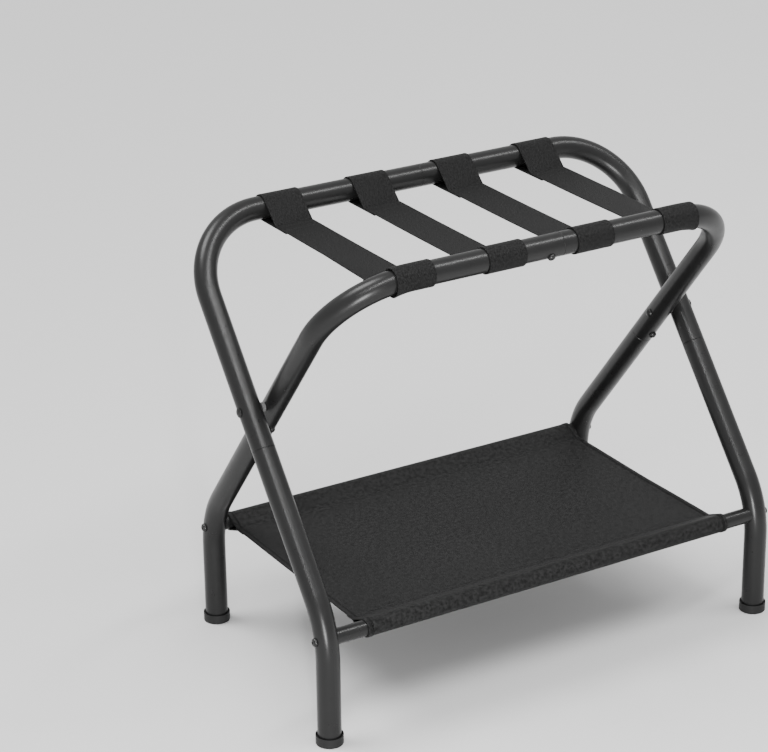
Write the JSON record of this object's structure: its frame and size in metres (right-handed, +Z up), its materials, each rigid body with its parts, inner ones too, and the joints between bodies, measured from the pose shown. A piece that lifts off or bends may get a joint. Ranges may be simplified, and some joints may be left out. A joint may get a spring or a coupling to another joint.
{
  "type": "folding luggage rack",
  "caption": "Folding luggage rack of crossed round steel tube frames, with webbing straps across the top and a fabric shelf below.",
  "frame": {"origin": "on the floor, below the middle of the rack", "axes": "+Z up, +X to the right along the top bars, +Y from the front top bar to the back top bar"},
  "size_m": [0.6464, 0.3696, 0.5518],
  "materials": {
    "frame_steel": "satin black powder coat",
    "bar_steel": "satin black powder coat",
    "screw_steel": "black oxide, slightly glossy",
    "pivot_steel": "black, slightly glossy",
    "spacer_plastic": "moulded nylon",
    "plug_plastic": "moulded nylon with a threaded bore",
    "foot_plastic": "moulded, fine matte texture",
    "webbing": "woven polyester webbing",
    "shelf_cloth": "plain-woven polyester cloth"
  },
  "bodies": {
    "outer_frame": {"left_pivot_bolt": "pivot_steel", "left_pivot_nut": "pivot_steel", "left_pivot_spacer": "spacer_plastic", "outer_left_foot": "foot_plastic", "outer_left_lower_leg": "frame_steel", "outer_left_shelf_bar_plug": "plug_plastic", "outer_left_shelf_screw": "screw_steel", "outer_left_upper_tube": "frame_steel", "outer_leg_joint_screws": "screw_steel", "outer_right_foot": "foot_plastic", "outer_right_lower_leg": "frame_steel", "outer_right_shelf_bar_plug": "plug_plastic", "outer_right_shelf_screw": "screw_steel", "outer_right_upper_tube": "frame_steel", "outer_shelf_bar": "bar_steel", "outer_top_joint_screw": "screw_steel", "right_pivot_bolt": "pivot_steel", "right_pivot_nut": "pivot_steel", "right_pivot_spacer": "spacer_plastic", "shelf_fabric": "shelf_cloth", "strap_1": "webbing", "strap_2": "webbing", "strap_3": "webbing", "strap_4": "webbing"},
    "inner_frame": {"inner_left_foot": "foot_plastic", "inner_left_lower_leg": "frame_steel", "inner_left_shelf_bar_plug": "plug_plastic", "inner_left_shelf_screw": "screw_steel", "inner_left_upper_tube": "frame_steel", "inner_leg_joint_screws": "screw_steel", "inner_right_foot": "foot_plastic", "inner_right_lower_leg": "frame_steel", "inner_right_shelf_bar_plug": "plug_plastic", "inner_right_shelf_screw": "screw_steel", "inner_right_upper_tube": "frame_steel", "inner_shelf_bar": "bar_steel", "inner_top_joint_screw": "screw_steel"}
  },
  "joints": [
    {"name": "fold", "type": "hinge", "parent": "outer_frame", "child": "inner_frame", "pos_m": [0, 0, 0.35269], "axis": [-1, 0, 0], "range_deg": [0, 67.5], "deforming": ["shelf_fabric", "strap_1", "strap_2", "strap_3", "strap_4"]}
  ]
}
